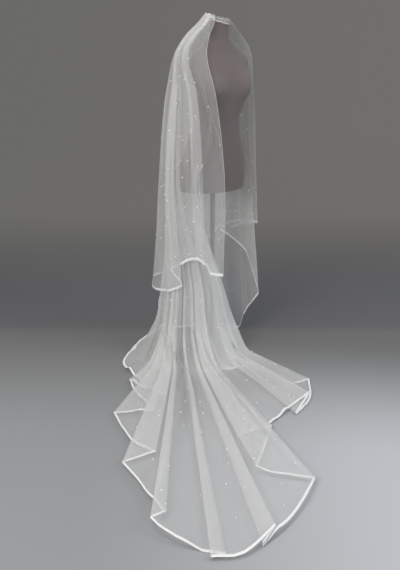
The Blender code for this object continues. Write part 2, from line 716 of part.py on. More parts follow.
def main():
    for thing in list(bpy.data.objects):
        bpy.data.objects.remove(thing, do_unlink=True)
    tulle = surface_material("tulle", (0.86, 0.86, 0.85), 0.60)
    satin = surface_material("satin", (0.93, 0.93, 0.92), 0.30)
    jersey = surface_material("jersey", (0.155, 0.127, 0.122), 0.85)
    painted = surface_material("painted", (0.34, 0.29, 0.22), 0.45)
    enamel = surface_material("enamel", (0.140, 0.140, 0.142), 0.60)
    steel = surface_material("steel", (0.55, 0.55, 0.56), 0.35, 1.0)
    make_form(jersey)
    make_neck_cap(painted)
    make_stand(enamel)
    make_comb(steel)
    make_upper_tier(tulle, satin)
    make_lower_tier(tulle, satin)


main()
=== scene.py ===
"""Looks of the two-tier bridal veil on its dress form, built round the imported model.

Metres, +Z up, in the model's own frame.  Each tier is drawn as one thin sheet on the form of its
solid: the same sections and hem, on a finer grid, with the small pleats and creases added.
"""
import math
import random

import bmesh
import bpy
import numpy as np
from mathutils import Matrix, Vector


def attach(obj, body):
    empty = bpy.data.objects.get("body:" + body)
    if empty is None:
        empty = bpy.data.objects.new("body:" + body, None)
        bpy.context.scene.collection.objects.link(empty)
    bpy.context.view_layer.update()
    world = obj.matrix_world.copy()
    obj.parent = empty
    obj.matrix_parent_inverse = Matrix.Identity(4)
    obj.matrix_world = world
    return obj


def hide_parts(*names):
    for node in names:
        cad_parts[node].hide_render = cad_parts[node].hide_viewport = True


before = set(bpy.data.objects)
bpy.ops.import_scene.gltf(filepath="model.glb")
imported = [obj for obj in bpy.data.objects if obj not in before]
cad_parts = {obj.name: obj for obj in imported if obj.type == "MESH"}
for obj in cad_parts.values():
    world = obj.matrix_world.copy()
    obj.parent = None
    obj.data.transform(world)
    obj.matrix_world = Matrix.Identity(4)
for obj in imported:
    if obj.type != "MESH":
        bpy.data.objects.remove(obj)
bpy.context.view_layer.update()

# ---- camera
CAMERA_PLACE = (-0.060, -3.380, 1.500)
CAMERA_DOWN = math.radians(19.36)
CAMERA_LENS, CAMERA_SENSOR = 45.47, 36.0                # mm

# ---- the veil's driving dimensions
TURN = math.radians(35.0)          # the form's turn about Z
SIDE = np.array((math.cos(TURN), math.sin(TURN)))       # towards the form's left shoulder
BACK = np.array((-math.sin(TURN), math.cos(TURN)))      # towards the form's back

FLOOR_GAP = 0.0006                 # the lowest layer lies this far above the floor
RIBBON_HALF = 0.0005               # half the ribbon's thickness where it wraps the net's edge
# metres up from the hem, share of that half thickness
RIBBON_PROFILE = ((0.0, 0.35), (0.0006, 1.0), (0.0065, 0.9), (0.0126, 1.0), (0.013, 0.4))
EDGE_RADIUS, EDGE_SIDES = 0.0005, 6       # the rolled side edges

COMB_RADIUS = 0.058
COMB_CENTRE = np.array((0.023, -0.012))
COMB_HEIGHT = 1.566                # of its middle
COMB_SLANT = 0.22                  # fall of the comb for each metre towards +X
COMB_DROPS = (0.000, 0.005)        # the long tier is sewn this far below the short one
COMB_INSETS = (0.000, 0.0074)      # and this far inside it
# degrees that each tier spans, short then long, on the comb and round the neck
COMB_SPANS = ((2.0, 214.0), (8.0, 205.0))
NECK_SPANS = ((-8.0, 238.0), (8.0, 207.0))

# ring, height, centre x, centre y, half width and half depth of the short tier, then of the
# long tier inside it
RINGS = (
    ("neck", 1.54, 0.009, -0.018, 0.085, 0.062, 0.066, 0.047),
    ("slope", 1.489, 0.004, -0.01, 0.144, 0.08, 0.12, 0.06),
    ("shoulder", 1.432, 0.006, 0.0, 0.195, 0.092, 0.175, 0.073),
    ("chest", 1.25, -0.003, 0.004, 0.221, 0.162, 0.196, 0.132),
    ("hip", 0.85, -0.015, 0.0, 0.254, 0.172, 0.226, 0.144),
)
# step from one folded layer to the next at the comb, at each ring and at each level below
UPPER_STEPS = (0.0014, 0.0018, 0.0020, 0.0022, 0.0026, 0.0028, 0.0030, 0.0030)
LOWER_STEPS = (0.0013, 0.0014, 0.0016, 0.0018, 0.0025, 0.0029, 0.0034, 0.0034, 0.0034, 0.0034)

# ---- the short tier
# place, course (degrees at the hip, from the form's left round its back), degrees at the shoulder
# and the chest, x and y at the skirt's height
UPPER_COURSES = (
    ("right", -18, -4, -11.7, 0.24, 0.122),
    ("right far", 4, 18, 10.3, 0.206, 0.176),
    ("back right", 36, 58, 45.9, 0.092, 0.2),
    ("back", 70, 90, 79, -0.03, 0.202),
    ("back left", 92, 110, 100.1, -0.116, 0.19),
    ("left far", 112, 128, 119.2, -0.196, 0.156),
    ("left rear", 128, 141, 133.9, -0.254, 0.106),
    ("left side", 144, 154, 148.5, -0.284, 0.04),
    ("left near", 160, 166, 162.7, -0.274, -0.042),
    ("left inner", 176, 176, 176, -0.234, -0.104),
    ("left turn", 192, 183, 188, -0.182, -0.146),
    ("front left", 212, 192, 202.5, -0.112, -0.176),
    ("front", 236, 210, 222, -0.036, -0.192),
    ("front edge", 262, 240, 246, 0.05, -0.184),
)
SKIRT_HEIGHT = 0.450
UPPER_BEYOND = 1.5                 # a thread ends so many times as far below the hips
# fold, x, y, z of the hem, the next layer's side: 1 outside, -1 inside, 0 where the hem only bends
UPPER_HEM = (
    ("right edge", 0.03, 0.19, 0.47, 0),
    ("right inner", 0.098, 0.19, 0.548, 0),
    ("right near", 0.158, 0.18, 0.572, 0),
    ("right fold", 0.236, 0.13, 0.598, 1),
    ("right far", 0.205, 0.176, 0.59, 0),
    ("back right", 0.074, 0.198, 0.57, 0),
    ("back", -0.036, 0.2, 0.484, 0),
    ("back left", -0.118, 0.19, 0.402, 0),
    ("left far", -0.196, 0.158, 0.33, 0),
    ("left rear", -0.258, 0.112, 0.318, 0),
    ("left side", -0.29, 0.04, 0.296, 0),
    ("left near", -0.249, -0.078, 0.309, 0),
    ("left inner", -0.19, -0.13, 0.33, 0),
    ("left turn", -0.141, -0.16, 0.362, -1),
    ("left tip", -0.196, -0.132, 0.436, -1),
    ("front left", -0.126, -0.172, 0.486, 0),
    ("front dip", -0.092, -0.182, 0.5, 0),
    ("front fold", -0.035, -0.191, 0.492, 1),
    ("front tuck", -0.078, -0.184, 0.506, 1),
    ("front inner", -0.029, -0.19, 0.476, 0),
    ("front low", -0.011, -0.19, 0.431, 0),
    ("front edge", 0.047, -0.184, 0.419, 0),
)

# ---- the long tier
# place, course, degrees at the shoulder and the hip, x and y at the knee, x and y at the ankle,
# heading on the floor in degrees, distance from the ankle's foot to where the cloth lies flat
LOWER_COURSES = (
    ("right", 0, 4, -10, 0.226, 0.12, 0.246, 0.128, 40, 0.012),
    ("right back", 16, 20, 6, 0.19, 0.148, 0.206, 0.15, 50, 0.012),
    ("right foot", 34, 48, 24, 0.143, 0.162, 0.156, 0.152, 60, 0.012),
    ("rear", 62, 84, 66, -0.022, 0.178, -0.02, 0.178, 85, 0.014),
    ("rear left", 88, 106, 92, -0.13, 0.168, -0.15, 0.17, 110, 0.02),
    ("far left", 112, 120, 110, -0.196, 0.128, -0.24, 0.124, 140, 0.04),
    ("left", 138, 132, 126, -0.232, 0.064, -0.282, 0.04, 176, 0.07),
    ("left near", 164, 142, 142, -0.246, 0.002, -0.29, -0.04, 208, 0.105),
    ("left front", 190, 152, 158, -0.226, -0.05, -0.268, -0.108, 238, 0.14),
    ("front left", 216, 161, 172, -0.196, -0.088, -0.226, -0.16, 257, 0.18),
    ("front", 242, 169, 184, -0.156, -0.112, -0.168, -0.192, 270, 0.2),
    ("front right", 268, 176, 196, -0.106, -0.122, -0.1, -0.204, 280, 0.18),
    ("right front", 294, 182, 206, -0.05, -0.116, -0.026, -0.188, 290, 0.16),
    ("right near", 318, 188, 216, 0.002, -0.1, 0.05, -0.14, 300, 0.115),
    ("right end", 344, 194, 226, 0.046, -0.052, 0.122, -0.036, 309, 0.105),
)
KNEE_HEIGHT = 0.340
ANKLE_HEIGHT = 0.100
TRAIN_REACH = 1.7                  # a thread runs this far over the floor before the hem cuts it
LOWER_CHEST = (0.45, 0.55)         # shares of the shoulder's and the hip's degrees at the chest
# fold, x, y, z of the hem, the next layer's side: 1 outside or above, -1 inside or beneath
LOWER_HEM = (
    ("right edge", 0.046, 0.185, 0.544, 0),
    ("right rise", 0.102, 0.18, 0.505, 0),
    ("right bend", 0.176, 0.165, 0.44, 0),
    ("right drop", 0.216, 0.138, 0.334, 0),
    ("right fold", 0.244, 0.124, 0.222, 1),
    ("right back", 0.206, 0.15, 0.154, 0),
    ("right tuck", 0.17, 0.16, 0.094, 0),
    ("right foot", 0.15, 0.152, 0.014, 0),
    ("right floor", 0.12, 0.164, 0.004, 0),
    ("rear", -0.03, 0.19, 0.007, 0),
    ("rear left", -0.168, 0.188, 0.006, 0),
)
# the same for the hem that lies on the floor, without z
FLOOR_HEM = (
    ("far left", -0.293, 0.148, 0),
    ("far corner", -0.356, 0.062, 0),
    ("left far", -0.405, -0.09, 0),
    ("left corner", -0.432, -0.24, 0),
    ("left in", -0.376, -0.357, 0),
    ("left deep", -0.298, -0.477, 0),
    ("tuck a", -0.204, -0.58, 1),
    ("tuck a out", -0.281, -0.535, 0),
    ("point a", -0.383, -0.433, 1),
    ("point a in", -0.352, -0.535, 0),
    ("tuck b", -0.251, -0.73, 1),
    ("point b", -0.418, -0.746, 1),
    ("point b in", -0.331, -0.954, 0),
    ("tuck c", -0.225, -1.045, 1),
    ("point c", -0.345, -1.12, 1),
    ("point c in", -0.278, -1.23, 0),
    ("front left", -0.233, -1.32, 0),
    ("strip one in", -0.171, -1.41, 1),
    ("strip one", -0.219, -1.46, 1),
    ("front bow", -0.186, -1.497, 0),
    ("front", -0.091, -1.56, 0),
    ("strip two in", 0.02, -1.59, 1),
    ("strip two", -0.027, -1.616, 1),
    ("front right", 0.076, -1.6, 0),
    ("strip three", 0.18, -1.49, -1),
    ("strip three in", 0.134, -1.555, -1),
    ("right bow", 0.219, -1.456, 0),
    ("right long", 0.289, -1.342, 0),
    ("corner point", 0.348, -1.212, -1),
    ("corner mid", 0.242, -1.195, 0),
    ("corner tuck", 0.142, -1.149, -1),
    ("fan mid", 0.181, -1.031, 0),
    ("fan point", 0.229, -0.842, -1),
    ("fan tuck", 0.088, -0.925, -1),
    ("fan in", 0.162, -0.88, 0),
    ("fan out", 0.256, -0.78, 0),
    ("side in", 0.323, -0.691, 0),
    ("side tuck", 0.422, -0.563, -1),
    ("side point", 0.34, -0.746, -1),
    ("side mid", 0.42, -0.6, 0),
    ("side far", 0.44, -0.418, -1),
    ("under a", 0.33, -0.47, 0),
    ("under b", 0.23, -0.34, 0),
    ("under c", 0.155, -0.29, 0),
    ("under d", 0.06, -0.33, 0),
    ("left end", -0.055, -0.345, 0),
)

# ---- pleats and creases
# how far the gathers reach each side of the sheet at each level, and how far out they are moved
UPPER_GATHERS = ((0.0002, 0.0002, 0.0003, 0.0005, 0.0008, 0.0016, 0.0036, 0.0052),
                 (1.0, 1.0, 1.0, 1.0, 0.9, 0.5, 0.0, 0.0))
LOWER_GATHERS = ((0.0001, 0.0001, 0.0002, 0.0003, 0.0005, 0.0011, 0.0028, 0.0030, 0.0022, 0.0016),
                 (1.0, 1.0, 1.0, 1.0, 1.0, 0.8, 0.4, 0.6, 1.0, 1.0))
# share of the gathers that is left, by course: courses, shares; the long tier keeps them all
UPPER_CALM = ((124.0, 138.0, 176.0, 190.0), (1.0, 0.35, 0.35, 1.0))
LOWER_CALM = ((0.0,), (1.0,))
# period in degrees of course, share, phase, drift per level
UPPER_WAVES = ((9.7, 0.30, 1.3, 0.10), (15.1, 0.34, 0.4, -0.25), (26.3, 0.36, 2.2, 0.20))
LOWER_WAVES = ((7.3, 0.28, 0.9, 0.12), (12.7, 0.34, 2.0, -0.20), (23.9, 0.38, 0.3, 0.15))
# crease, half width in degrees, reach outward in metres, levels over which it fades in and out,
# then its path as level and course
UPPER_CREASES = (
    ("shoulder line", 1.9, 0.015, 0.4,
     ((2.6, 206), (3.7, 224), (4.3, 226), (4.8, 229), (5.3, 232), (6.6, 238))),
    ("breast line", 1.5, 0.02, 0.4, ((3.0, 239), (3.5, 242), (4.1, 247), (4.5, 256))),
    ("breast branch", 1.5, 0.018, 0.3, ((4.1, 253), (4.4, 250), (4.7, 242), (4.9, 230))),
    ("left band edge", 3.0, 0.008, 0.6, ((2.6, 193), (3.8, 197), (5.2, 204), (6.6, 206))),
    ("left pleat", 4.0, 0.009, 1.5, ((3.4, 176), (4.3, 178), (6.2, 184))),
    ("left side pleat", 4.0, 0.008, 1.5, ((2.9, 160), (5.8, 164))),
    ("front pleat", 2.6, 0.006, 1.0, ((4.8, 236), (5.4, 242), (6.6, 247))),
    ("rear left pleat", 4.5, 0.012, 1.5, ((2.7, 136), (6.6, 134))),
    ("back left pleat", 5.0, 0.014, 1.5, ((2.7, 112), (6.6, 108))),
    ("back pleat", 4.5, 0.011, 1.8, ((2.8, 84), (6.6, 81))),
    ("back right pleat", 5.0, 0.013, 1.5, ((2.7, 55), (6.6, 50))),
    ("back right small pleat", 3.5, 0.008, 1.0, ((3.4, 38), (6.6, 36))),
    ("right pleat", 3.5, 0.01, 1.5, ((2.9, 20), (6.6, 23))),
    ("right crease", 3.0, 0.007, 1.5, ((2.9, 0), (6.6, -5))),
)
LOWER_CREASES = (
    ("fall line", 3.0, 0.012, 1.0, ((4.6, 250), (5.9, 256), (6.4, 266), (7.1, 280), (8.0, 287))),
    ("fall near line", 3.0, 0.007, 1.0, ((5.6, 276), (6.9, 296), (8.0, 300))),
    ("fall gap", 2.6, -0.012, 0.6, ((6.4, 284), (7.1, 286.5), (8.02, 292))),
    ("left fall", 2.2, 0.022, 0.5, ((6.1, 178), (6.7, 190), (7.05, 226), (7.6, 246), (8.05, 256))),
    ("fall pleat", 2.6, 0.017, 0.8, ((5.4, 244), (6.9, 250), (7.5, 254))),
    ("fall left pleat", 2.5, 0.015, 0.8, ((5.6, 232), (6.9, 237), (7.6, 243))),
    ("fall side pleat", 2.8, 0.014, 0.8, ((5.6, 214), (6.9, 219), (7.7, 226))),
    ("fall edge pleat", 3.0, 0.013, 0.8, ((5.6, 180), (6.9, 184), (8.0, 192))),
    ("far fall", 4.5, 0.008, 1.5, ((5.0, 152), (7.0, 156))),
    ("rear left fall", 4.5, 0.01, 1.2, ((5.0, 112), (6.8, 110))),
    ("rear fold", 5.0, 0.012, 1.2, ((5.0, 72), (6.9, 70))),
    ("rear right fold", 4.0, 0.01, 1.2, ((5.0, 48), (6.6, 46))),
    ("right fold", 4.0, 0.008, 1.2, ((4.6, 22), (6.4, 20))),
    ("train ridge", 1.8, 0.01, 0.1, ((7.95, 252), (8.2, 246), (8.45, 239), (8.62, 238))),
    ("train soft ridge", 2.2, 0.008, 0.1, ((8.02, 262), (8.3, 251), (8.5, 250), (8.66, 248))),
    ("train dark line", 1.4, 0.01, 0.12, ((7.9, 256), (8.18, 260), (8.32, 262.5), (8.6, 264))),
    ("train near ridge", 2.0, 0.009, 0.1, ((8.02, 292), (8.3, 281), (8.5, 275.5), (8.7, 272.5))),
    ("train far ridge", 2.5, 0.009, 0.1, ((7.9, 226), (8.2, 222), (8.5, 220))),
    ("train side ridge", 3.0, 0.009, 0.08, ((7.9, 205), (8.2, 204))),
    ("train right ridge", 2.5, 0.009, 0.1, ((7.9, 318), (8.15, 312), (8.35, 306))),
)

# ---- pearls
PEARL_RADIUS = 0.0029
PEARL_LIFT = 0.6                   # its middle stands this share of the radius off the net
PEARL_SPACING = 0.150
# shares of that spacing: first row, step from row to row, how uneven along a row and down it
PEARL_START, PEARL_ROWS, PEARL_ACROSS, PEARL_DOWN = 0.40, 0.87, (0.75, 1.25), (-0.3, 0.3)
PEARL_COMB_GAP, PEARL_HEM_GAP = 0.03, 0.02
PEARL_SEED = 11

# ---- the dress form
# height, half width, depth in front, depth behind, shift to the front
FORM_SECTIONS = (
    (0.8, 0.17, 0.108, 0.116, -0.004),
    (0.86, 0.174, 0.108, 0.122, -0.004),
    (0.93, 0.173, 0.105, 0.122, -0.004),
    (1.0, 0.151, 0.1, 0.1, 0.0),
    (1.06, 0.124, 0.094, 0.084, 0.004),
    (1.11, 0.112, 0.089, 0.078, 0.008),
    (1.17, 0.128, 0.096, 0.082, 0.012),
    (1.24, 0.147, 0.108, 0.092, 0.014),
    (1.3, 0.157, 0.105, 0.096, 0.012),
    (1.35, 0.161, 0.09, 0.092, 0.01),
    (1.39, 0.158, 0.07, 0.08, 0.01),
    (1.42, 0.122, 0.056, 0.066, 0.011),
    (1.445, 0.08, 0.049, 0.056, 0.012),
    (1.462, 0.052, 0.045, 0.05, 0.012),
    (1.48, 0.043, 0.042, 0.045, 0.012),
    (1.538, 0.041, 0.04, 0.042, 0.012),
)
FORM_LEAN = 0.020                  # how far the shoulders stand to +X of the hem of the form
BUST = (0.088, 1.262, 0.056, 0.038)      # half spacing, height, spread, height of the swell
NECK_SLANT = 0.26                  # fall of the neck's cut top for each metre towards +X
NECK_HEIGHTS = (1.462, 1.538)      # where that slant begins, and where it is whole


# ---- curves
def unit(vectors):
    """The vectors at length one."""
    return vectors / np.maximum(np.linalg.norm(vectors, axis=-1, keepdims=True), 1e-9)


def bearing(degrees):
    """The level direction at so many degrees from +X."""
    return np.array((math.cos(math.radians(degrees)), math.sin(math.radians(degrees))))


def cubic(start, stop, slope_in, slope_out, t):
    """The points at t on the cubics between two points with their slopes."""
    return ((2 * t**3 - 3 * t**2 + 1) * start + (t**3 - 2 * t**2 + t) * slope_in
            + (3 * t**2 - 2 * t**3) * stop + (t**3 - t**2) * slope_out)


def ramp(value, low, high):
    """0 below low, 1 above high, and smooth between."""
    t = np.clip((value - low) / (high - low), 0.0, 1.0)
    return t * t * (3.0 - 2.0 * t)


def through(points, spacing):
    """Points on a smooth curve through the given ones, no further apart than the spacing."""
    points = np.asarray(points, dtype=float)
    ends = np.vstack((2 * points[0] - points[1], points, 2 * points[-1] - points[-2]))
    result = [points[0]]
    for index in range(len(points) - 1):
        start, stop = points[index], points[index + 1]
        reach = np.linalg.norm(stop - start)
        count = max(1, math.ceil(reach / spacing))
        slopes = [(stop - ends[index]) * 0.5, (ends[index + 3] - start) * 0.5]
        slopes = [unit(slope) * min(reach, np.linalg.norm(slope)) for slope in slopes]
        for step in range(1, count + 1):
            result.append(cubic(start, stop, slopes[0], slopes[1], step / count))
    return result


def hem_legs(rows, spacing):
    """The hem as legs between folds, each a run of points, with the side each next leg lies on."""
    legs, sides, run = [], [], []
    for _, x, y, z, side in rows:
        run.append((x, y, z))
        if side:
            legs.append(np.array(through(run, spacing)))
            sides.append(side)
            run = [(x, y, z)]
    legs.append(np.array(through(run, spacing)))
    return legs, sides


class Thread:
    """A smooth curve down through a tier's levels, straight from one of them on if asked."""

    def __init__(self, levels, flat_from=99, ease=1.0):
        self.levels = np.array(levels)
        steps = np.linalg.norm(np.diff(self.levels, axis=0), axis=1)
        self.at = np.concatenate(((0.0,), np.cumsum(np.maximum(steps, 1e-5))))
        self.slopes = np.gradient(self.levels, self.at, axis=0)
        for index in range(flat_from, len(self.levels)):
            self.slopes[index] = unit(self.levels[-1] - self.levels[flat_from])
            self.slopes[index] *= ease if index == flat_from else 1.0

    def points(self, places):
        """The points at places counted in levels."""
        places = np.atleast_1d(np.asarray(places, dtype=float))
        index = np.clip(np.floor(places).astype(int), 0, len(self.levels) - 2)
        span = (self.at[index + 1] - self.at[index])[:, None]
        return cubic(self.levels[index], self.levels[index + 1], self.slopes[index] * span,
                     self.slopes[index + 1] * span, (places - index)[:, None])


# ---- the two tiers' courses
class Courses:
    """A table of courses, smooth from row to row."""

    def __init__(self, rows):
        self.table = np.array([row[1:] for row in rows])
        self.slopes = np.gradient(self.table, self.table[:, 0], axis=0)

    def at(self, course):
        """Every column after the first, at a course."""
        stops = self.table[:, 0]
        index = int(np.clip(np.searchsorted(stops, course) - 1, 0, len(stops) - 2))
        span = stops[index + 1] - stops[index]
        t = (course - stops[index]) / span
        return cubic(self.table[index], self.table[index + 1], self.slopes[index] * span,
                     self.slopes[index + 1] * span, t)[1:]

    def share(self, course, span):
        """A course as a share of the whole, laid over a span of degrees."""
        first, last = self.table[0, 0], self.table[-1, 0]
        return span[0] + (span[1] - span[0]) * (course - first) / (last - first)


UPPER = Courses(UPPER_COURSES)
LOWER = Courses(LOWER_COURSES)


def ring_level(index, degrees, tier):
    """A ring's point at an angle, for a tier: 0 short, 1 long."""
    _, height, centre_x, centre_y = RINGS[index][:4]
    half_width, half_depth = RINGS[index][4 + 2 * tier], RINGS[index][5 + 2 * tier]
    angle = math.radians(degrees)
    place = half_width * math.cos(angle) * SIDE + half_depth * math.sin(angle) * BACK
    return (centre_x + place[0], centre_y + place[1], height)


def comb_level(degrees, drop, inset):
    """A point of a tier's gathered edge, sewn to the comb."""
    angle = math.radians(degrees)
    place = COMB_CENTRE + (COMB_RADIUS - inset) * (math.cos(angle) * SIDE + math.sin(angle) * BACK)
    return (place[0], place[1], COMB_HEIGHT - COMB_SLANT * (place[0] - COMB_CENTRE[0]) - drop)


def body_levels(tier, courses, course, shoulder, chest, hip):
    """The levels from the comb to the hips."""
    comb = courses.share(course, COMB_SPANS[tier])
    neck = courses.share(course, NECK_SPANS[tier])
    return [comb_level(comb, COMB_DROPS[tier], COMB_INSETS[tier]),
            ring_level(0, neck, tier),
            ring_level(1, 0.5 * (neck + shoulder), tier),
            ring_level(2, shoulder, tier),
            ring_level(3, chest, tier),
            ring_level(4, hip, tier)]


def upper_thread(course):
    """A thread of the short tier."""
    shoulder, chest, skirt_x, skirt_y = UPPER.at(course)
    levels = body_levels(0, UPPER, course, shoulder, chest, course)
    levels.append((skirt_x, skirt_y, SKIRT_HEIGHT))
    hip = np.array(levels[-2])
    levels.append(hip + (np.array(levels[-1]) - hip) * UPPER_BEYOND)
    return Thread(levels)


def lower_thread(course):
    """A thread of the long tier."""
    shoulder, hip, knee_x, knee_y, ankle_x, ankle_y, heading, toe = LOWER.at(course)
    chest = LOWER_CHEST[0] * shoulder + LOWER_CHEST[1] * hip
    levels = body_levels(1, LOWER, course, shoulder, chest, hip)
    levels.append((knee_x, knee_y, KNEE_HEIGHT))
    levels.append((ankle_x, ankle_y, ANKLE_HEIGHT))
    touch = np.array((ankle_x, ankle_y)) + bearing(heading) * toe
    far = touch + bearing(heading) * TRAIN_REACH
    levels.append((touch[0], touch[1], FLOOR_GAP))
    levels.append((far[0], far[1], FLOOR_GAP))
    return Thread(levels, flat_from=len(levels) - 2, ease=min(1.0, toe / ANKLE_HEIGHT))


class Cloth:
    """A tier's surface by course and place, and its layers, each a step further out or up."""

    def __init__(self, make, steps, gathers, calm, waves, creases):
        self.make, self.steps = make, steps
        self.gathers, self.calm, self.waves, self.creases = gathers, calm, waves, creases
        self.kept = {}

    def thread(self, course):
        """The thread of a course, kept for the next time."""
        key = round(float(course), 4)
        if key not in self.kept:
            self.kept[key] = self.make(key)
        return self.kept[key]

    def point(self, course, place):
        """One point of the lowest layer, before its pleats."""
        return self.thread(course).points(place)[0]

    def pleats(self, course, places):
        """How far the gathers and creases carry the sheet out, the same on every layer."""
        levels = range(len(self.steps))
        size = np.interp(places, levels, self.gathers[0]) * np.interp(course, *self.calm)
        wave = sum(share * np.sin(math.tau * course / period + phase + drift * places)
                   for period, share, phase, drift in self.waves)
        out = size * (wave + np.interp(places, levels, self.gathers[1]))
        for _, half, reach, fade, path in self.creases:
            at, across = np.transpose(path)
            away = (course - np.interp(places, at, across)) / half
            shown = ramp(places, at[0], at[0] + fade) * (1.0 - ramp(places, at[-1], at[-1] + fade))
            out = out + reach * np.exp(-away**2) * shown
        return out

    def column(self, column, places):
        """The sheet's points down a column, and the outward normals there."""
        course, _, layer = column
        base = self.thread(course).points(places)
        across = self.thread(course + 0.5).points(places) - self.thread(course - 0.5).points(places)
        down = self.thread(course).points(places + 0.01) - self.thread(course).points(places - 0.01)
        normals = unit(np.cross(down, across))
        step = np.interp(places, range(len(self.steps)), self.steps)
        points = base + normals * (step * layer + self.pleats(course, places))[:, None]
        points[:, 2] = np.maximum(points[:, 2], FLOOR_GAP)
        return points, normals


def find_course(cloth, course, place, target):
    """The course and the place along it where a tier passes nearest to a point."""
    (turn_step, turn_most), (run_step, run_most) = FIND_MOVES
    for _ in range(FIND_ROUNDS):
        here = cloth.point(course, place)
        turn = (cloth.point(course + turn_step, place) - here) / turn_step
        run = (cloth.point(course, place + run_step) - here) / run_step
        change = np.linalg.lstsq(np.stack((turn, run), axis=1), target - here, rcond=None)[0]
        course += float(np.clip(change[0], -turn_most, turn_most))
        place += float(np.clip(change[1], -run_most, run_most))
    return course, place


def solve_legs(cloth, legs, courses, places):
    """Course and place for each point of each leg, found from the nearest of a net of points."""
    net = np.array([cloth.thread(course).points(places) for course in courses])
    solved = []
    for leg in legs:
        found = []
        for point in leg:
            away = np.linalg.norm(net - point, axis=2)
            row, column = np.unravel_index(np.argmin(away), away.shape)
            found.append(find_course(cloth, courses[row], places[column], point))
        solved.append(found)
    return solved


def stacked(solved, sides, blur):
    """The layer of each point of each leg, so that legs which share a course never meet."""
    ranks = np.concatenate(((0,), np.cumsum(sides)))
    heights = [None] * len(solved)
    for leg in np.argsort(ranks, kind="stable"):
        courses = np.array([course for course, _ in solved[leg]])
        room = FOLD_REACH + blur
        fine = np.arange(courses.min() - room, courses.max() + room, FOLD_FINE)
        need = np.zeros(len(fine))
        for other, height in enumerate(heights):
            if height is None:
                continue
            across = np.array([course for course, _ in solved[other]])
            order = np.argsort(across)
            near = (fine > across.min() - FOLD_MARGIN) & (fine < across.max() + FOLD_MARGIN)
            below = np.interp(fine, across[order], height[order])
            need = np.where(near, np.maximum(need, below + 1.0), need)
        reach = int(FOLD_REACH / FOLD_FINE)
        wide = np.array([need[max(0, k - reach):k + reach + 1].max() for k in range(len(fine))])
        spread = int(blur / FOLD_FINE)
        soft = np.array([wide[max(0, k - spread):k + spread + 1].mean() for k in range(len(fine))])
        heights[leg] = np.interp(courses, fine, np.maximum(soft, need))
    return heights


def evenly(solved, heights, step):
    """Each leg's course, place and layer, taken at even steps of the course between its ends."""
    legs = []
    for points, height in zip(solved, heights):
        courses, places = np.array(points).T
        low, high = min(courses[0], courses[-1]), max(courses[0], courses[-1])
        inner = np.arange(math.ceil(low / step) * step, high, step)
        inner = inner[(inner > low + 0.3 * step) & (inner < high - 0.3 * step)]
        order = np.argsort(courses)
        at = np.concatenate(((low,), inner, (high,)))
        if courses[0] > courses[-1]:
            at = at[::-1]
        legs.append([(course, np.interp(course, courses[order], places[order]),
                      np.interp(course, courses[order], np.array(height)[order])) for course in at])
    return legs


def columns_of(legs):
    """Every column of a tier, with a column of its own at the turn of each fold."""
    columns = []
    for points in legs:
        if columns:
            columns.append(tuple((old + new) / 2 for old, new in zip(columns[-1], points[0])))
        columns += points
    return columns


class Tier:
    """A tier's columns, each with even places down it from the comb to the hem."""

    def __init__(self, cloth, columns, rows):
        self.cloth, self.columns = cloth, columns
        self.places, self.lengths = [], []
        for course, hem, _ in columns:
            fine = np.linspace(0.0, hem, FINE_PLACES)
            steps = np.linalg.norm(np.diff(cloth.thread(course).points(fine), axis=0), axis=1)
            length = np.concatenate(((0.0,), np.cumsum(steps)))
            self.places.append(np.interp(np.linspace(0.0, length[-1], rows), length, fine))
            self.lengths.append((length, fine))

    def down(self, index, distances):
        """The places so far down a column, in metres from the comb."""
        length, fine = self.lengths[index]
        return np.interp(distances, length, fine)

    def spot(self, index, distance):
        """One point and its normal so far down a column."""
        points, normals = self.cloth.column(self.columns[index], self.down(index, [distance]))
        return points[0], normals[0]

    def strip(self, index, distances):
        """Points and normals so far up a column from its hem, in metres."""
        total = self.lengths[index][0][-1]
        return self.cloth.column(self.columns[index], self.down(index, total - distances))

    def grid(self):
        """The whole sheet, as points by column and row."""
        return np.array([self.cloth.column(column, places)[0]
                         for column, places in zip(self.columns, self.places)])


def tier_of(cloth, hem, spacing, courses, places, blur, step, rows):
    """A tier on its fine grid."""
    legs, sides = hem_legs(hem, spacing)
    solved = solve_legs(cloth, legs, courses, places)
    columns = columns_of(evenly(solved, stacked(solved, sides, blur), step))
    return Tier(cloth, columns, rows)


# ---- mesh making
def linked(name, data):
    """A mesh, lamp or camera as an object of the scene."""
    made = bpy.data.objects.new(name, data)
    bpy.context.scene.collection.objects.link(made)
    return made


def placed(name, mesh, material):
    """A mesh as a piece of the object, smooth and riding on its body."""
    mesh.materials.append(material)
    mesh.shade_smooth()
    made = linked(name, mesh)
    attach(made, "root")
    return made


def grid_mesh(name, grid, closed=False):
    """A grid of points as one mesh of quads with a map in metres, closed across if asked."""
    columns, rows = grid.shape[:2]
    index = np.arange(columns * rows).reshape(columns, rows)
    ahead = np.roll(index, -1, axis=1) if closed else index[:, 1:]
    here = index if closed else index[:, :-1]
    faces = np.stack((here[:-1], here[1:], ahead[1:], ahead[:-1]), axis=-1).reshape(-1, 4)
    across = np.linalg.norm(np.diff(grid, axis=0, prepend=grid[:1]), axis=2).cumsum(axis=0)
    down = np.linalg.norm(np.diff(grid, axis=1, prepend=grid[:, :1]), axis=2).cumsum(axis=1)
    width = np.broadcast_to(across.mean(axis=1, keepdims=True), across.shape)
    mesh = bpy.data.meshes.new(name)
    mesh.from_pydata(grid.reshape(-1, 3).tolist(), [], faces.tolist())
    layer = mesh.uv_layers.new(name="cloth")
    metres = np.stack((width, down), axis=-1).reshape(-1, 2)
    layer.data.foreach_set("uv", metres[faces.reshape(-1)].reshape(-1).astype(np.float32))
    return mesh


